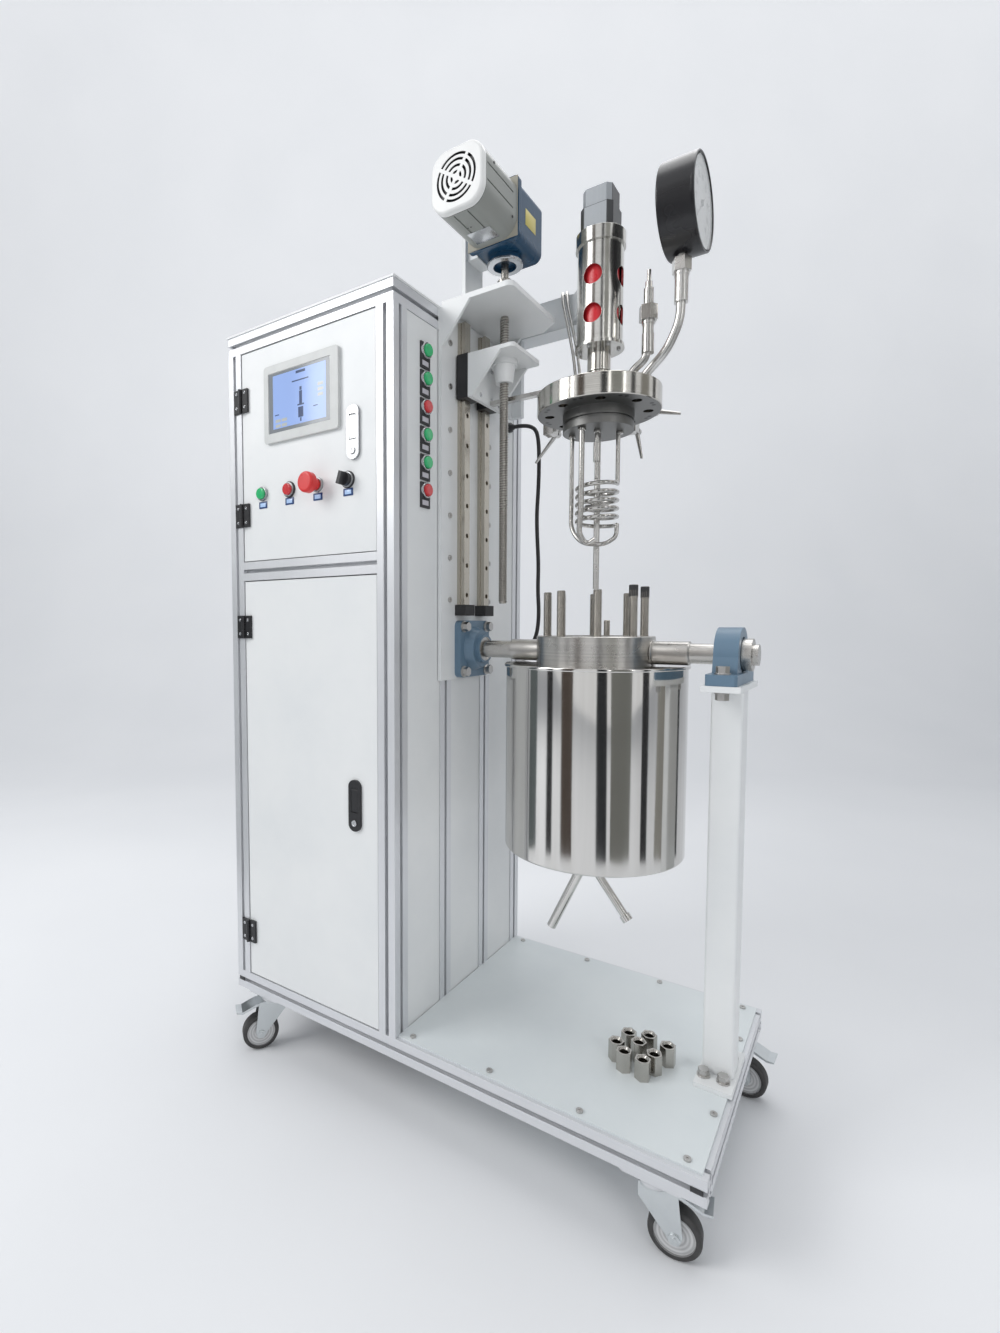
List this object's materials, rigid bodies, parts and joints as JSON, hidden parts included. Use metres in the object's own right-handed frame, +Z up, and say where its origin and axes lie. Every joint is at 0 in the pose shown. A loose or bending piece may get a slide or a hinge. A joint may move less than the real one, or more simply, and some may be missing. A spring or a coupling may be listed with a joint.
{
  "type": "high pressure reactor",
  "caption": "Tilting jacketed pressure vessel with a motor-lifted lid and magnetic stirrer, on a wheeled profile frame with its control cabinet.",
  "frame": {"origin": "middle of the base frame, on the floor", "axes": "+Z up, +Y towards the back of the machine, +X from the control cabinet to the vessel's support post"},
  "size_m": [1.0631, 0.5696, 1.777],
  "materials": {
    "anodised_profile": "satin anodised",
    "white_sheet": "powder coated",
    "grey_casting": "powder coated",
    "black_metal": "satin",
    "blue_casting": "enamel",
    "stainless": "turned and brushed",
    "polished_steel": "polished",
    "zinc_steel": "zinc plated",
    "caster_body": "zinc plated sheet",
    "tyre_rubber": "matte",
    "black_plastic": "fine grain",
    "screen": "gloss",
    "green_lens": "clear",
    "red_lens": "clear",
    "red_plastic": "gloss",
    "bearing_blue": "enamel",
    "motor_grey": "satin",
    "cable_rubber": "matte",
    "gauge_case": "enamel"
  },
  "bodies": {
    "stand": {"base_frame": "anodised_profile", "deck": "white_sheet", "fasteners": "zinc_steel", "cabinet_frame": "anodised_profile", "cabinet_panels": "white_sheet", "door_hinges": "black_plastic", "side_button_plates": "black_plastic", "lift_plate": "white_sheet", "guide_rails": "stainless", "rail_stops": "black_plastic", "motor_plate": "white_sheet", "gearbox": "blue_casting", "gear_motor": "grey_casting", "trunnion_bearings": "bearing_blue", "support_post": "white_sheet", "stud_nuts": "polished_steel", "drive_cable": "cable_rubber"},
    "upper_door": {"upper_door": "white_sheet", "upper_door_fittings": "zinc_steel", "operator_screen": "screen"},
    "upper_lock_paddle": {"upper_lock_paddle": "zinc_steel"},
    "green_button": {"green_button": "green_lens"},
    "red_button": {"red_button": "red_lens"},
    "stop_button": {"stop_button": "red_plastic"},
    "selector_knob": {"selector_knob": "black_plastic"},
    "lower_door": {"lower_door": "white_sheet", "lower_lock": "black_metal"},
    "lower_lock_paddle": {"lower_lock_paddle": "black_metal"},
    "lead_screw": {"lead_screw": "stainless"},
    "lid_carriage": {"guide_blocks": "black_metal", "carriage_bracket": "white_sheet", "lift_boom": "grey_casting", "drive_housing": "polished_steel", "drive_motor": "motor_grey", "lid": "polished_steel", "cooling_coil": "polished_steel", "pressure_gauge": "gauge_case", "lid_fittings": "stainless"},
    "stirrer": {"stirrer": "stainless"},
    "vessel": {"vessel": "stainless", "jacket": "polished_steel", "studs": "stainless", "heater_cable": "cable_rubber"},
    "side_button_1": {"side_button_1": "green_lens"},
    "side_button_2": {"side_button_2": "green_lens"},
    "side_button_3": {"side_button_3": "red_lens"},
    "side_button_4": {"side_button_4": "green_lens"},
    "side_button_5": {"side_button_5": "green_lens"},
    "side_button_6": {"side_button_6": "red_lens"},
    "valve_handle_left": {"valve_handle_left": "stainless"},
    "valve_handle_rear": {"valve_handle_rear": "stainless"},
    "valve_handle_right": {"valve_handle_right": "stainless"},
    "caster_fork_front_left": {"caster_fork_front_left": "caster_body"},
    "caster_wheel_front_left": {"caster_wheel_front_left": "tyre_rubber"},
    "caster_fork_front_right": {"caster_fork_front_right": "caster_body"},
    "caster_wheel_front_right": {"caster_wheel_front_right": "tyre_rubber"},
    "caster_fork_rear_left": {"caster_fork_rear_left": "caster_body"},
    "caster_wheel_rear_left": {"caster_wheel_rear_left": "tyre_rubber"},
    "caster_fork_rear_right": {"caster_fork_rear_right": "caster_body"},
    "caster_wheel_rear_right": {"caster_wheel_rear_right": "tyre_rubber"}
  },
  "joints": [
    {"name": "upper_door_hinge", "type": "hinge", "parent": "stand", "child": "upper_door", "pos_m": [-0.459, -0.2543, 1.297], "axis": [0, 0, -1], "range_deg": [0, 110]},
    {"name": "lower_door_hinge", "type": "hinge", "parent": "stand", "child": "lower_door", "pos_m": [-0.459, -0.2543, 0.601], "axis": [0, 0, -1], "range_deg": [0, 110]},
    {"name": "upper_paddle_hinge", "type": "hinge", "parent": "upper_door", "child": "upper_lock_paddle", "pos_m": [-0.145, -0.251, 1.332], "axis": [-1, 0, 0], "range_deg": [0, 60]},
    {"name": "lower_paddle_hinge", "type": "hinge", "parent": "lower_door", "child": "lower_lock_paddle", "pos_m": [-0.146, -0.251, 0.626], "axis": [-1, 0, 0], "range_deg": [0, 60]},
    {"name": "green_press", "type": "slide", "parent": "upper_door", "child": "green_button", "axis": [0, 1, 0], "range_m": [0, 0.003], "stiffness_N_per_m": 400},
    {"name": "red_press", "type": "slide", "parent": "upper_door", "child": "red_button", "axis": [0, 1, 0], "range_m": [0, 0.003], "stiffness_N_per_m": 400},
    {"name": "stop_press", "type": "slide", "parent": "upper_door", "child": "stop_button", "axis": [0, 1, 0], "range_m": [0, 0.005], "stiffness_N_per_m": 600},
    {"name": "selector_turn", "type": "hinge", "parent": "upper_door", "child": "selector_knob", "pos_m": [-0.16, -0.248, 1.216], "axis": [0, 1, 0], "range_deg": [-45, 45]},
    {"name": "side_press_1", "type": "slide", "parent": "stand", "child": "side_button_1", "axis": [-1, 0, 0], "range_m": [0, 0.003], "stiffness_N_per_m": 400},
    {"name": "side_press_2", "type": "slide", "parent": "stand", "child": "side_button_2", "axis": [-1, 0, 0], "range_m": [0, 0.003], "stiffness_N_per_m": 400},
    {"name": "side_press_3", "type": "slide", "parent": "stand", "child": "side_button_3", "axis": [-1, 0, 0], "range_m": [0, 0.003], "stiffness_N_per_m": 400},
    {"name": "side_press_4", "type": "slide", "parent": "stand", "child": "side_button_4", "axis": [-1, 0, 0], "range_m": [0, 0.003], "stiffness_N_per_m": 400},
    {"name": "side_press_5", "type": "slide", "parent": "stand", "child": "side_button_5", "axis": [-1, 0, 0], "range_m": [0, 0.003], "stiffness_N_per_m": 400},
    {"name": "side_press_6", "type": "slide", "parent": "stand", "child": "side_button_6", "axis": [-1, 0, 0], "range_m": [0, 0.003], "stiffness_N_per_m": 400},
    {"name": "lid_lift", "type": "slide", "parent": "stand", "child": "lid_carriage", "axis": [0, 0, -1], "range_m": [0, 0.4075]},
    {"name": "lead_screw_turn", "type": "hinge", "parent": "stand", "child": "lead_screw", "pos_m": [0.037, 0, 1.27], "axis": [0, 0, 1], "continuous": true},
    {"name": "stirrer_spin", "type": "hinge", "parent": "lid_carriage", "child": "stirrer", "pos_m": [0.233, 0, 1.3], "axis": [0, 0, 1], "continuous": true},
    {"name": "valve_left_turn", "type": "hinge", "parent": "lid_carriage", "child": "valve_handle_left", "pos_m": [0.09, 0.14, 1.351], "axis": [0, 1, 0], "range_deg": [0, 450]},
    {"name": "valve_rear_turn", "type": "hinge", "parent": "lid_carriage", "child": "valve_handle_rear", "pos_m": [0.25, 0.175, 1.338], "axis": [0, 1, 0], "range_deg": [0, 450]},
    {"name": "valve_right_turn", "type": "hinge", "parent": "lid_carriage", "child": "valve_handle_right", "pos_m": [0.3, 0.125, 1.356], "axis": [0, 1, 0], "range_deg": [0, 450]},
    {"name": "vessel_tilt", "type": "hinge", "parent": "stand", "child": "vessel", "pos_m": [0.233, 0, 0.893], "axis": [-1, 0, 0], "range_deg": [-90, 0]},
    {"name": "swivel_front_left", "type": "hinge", "parent": "stand", "child": "caster_fork_front_left", "pos_m": [-0.42, -0.2175, 0.11], "axis": [0, 0, 1], "continuous": true},
    {"name": "wheel_front_left", "type": "hinge", "parent": "caster_fork_front_left", "child": "caster_wheel_front_left", "pos_m": [-0.43678, -0.24237, 0.039], "axis": [0.829, -0.5592, 0], "continuous": true},
    {"name": "swivel_front_right", "type": "hinge", "parent": "stand", "child": "caster_fork_front_right", "pos_m": [0.42, -0.2175, 0.11], "axis": [0, 0, 1], "continuous": true},
    {"name": "wheel_front_right", "type": "hinge", "parent": "caster_fork_front_right", "child": "caster_wheel_front_right", "pos_m": [0.44971, -0.21332, 0.039], "axis": [-0.1392, 0.9903, 0], "continuous": true},
    {"name": "swivel_rear_left", "type": "hinge", "parent": "stand", "child": "caster_fork_rear_left", "pos_m": [-0.45, 0.2175, 0.11], "axis": [0, 0, 1], "continuous": true},
    {"name": "wheel_rear_left", "type": "hinge", "parent": "caster_fork_rear_left", "child": "caster_wheel_rear_left", "pos_m": [-0.47598, 0.2325, 0.039], "axis": [-0.5, -0.866, 0], "continuous": true},
    {"name": "swivel_rear_right", "type": "hinge", "parent": "stand", "child": "caster_fork_rear_right", "pos_m": [0.45, 0.2175, 0.11], "axis": [0, 0, 1], "continuous": true},
    {"name": "wheel_rear_right", "type": "hinge", "parent": "caster_fork_rear_right", "child": "caster_wheel_rear_right", "pos_m": [0.47993, 0.21541, 0.039], "axis": [0.0698, 0.9976, 0], "continuous": true}
  ],
  "couplings": [
    {"joint": "lead_screw_turn", "follows": "lid_lift", "rad_per_m": 1256.6}
  ]
}
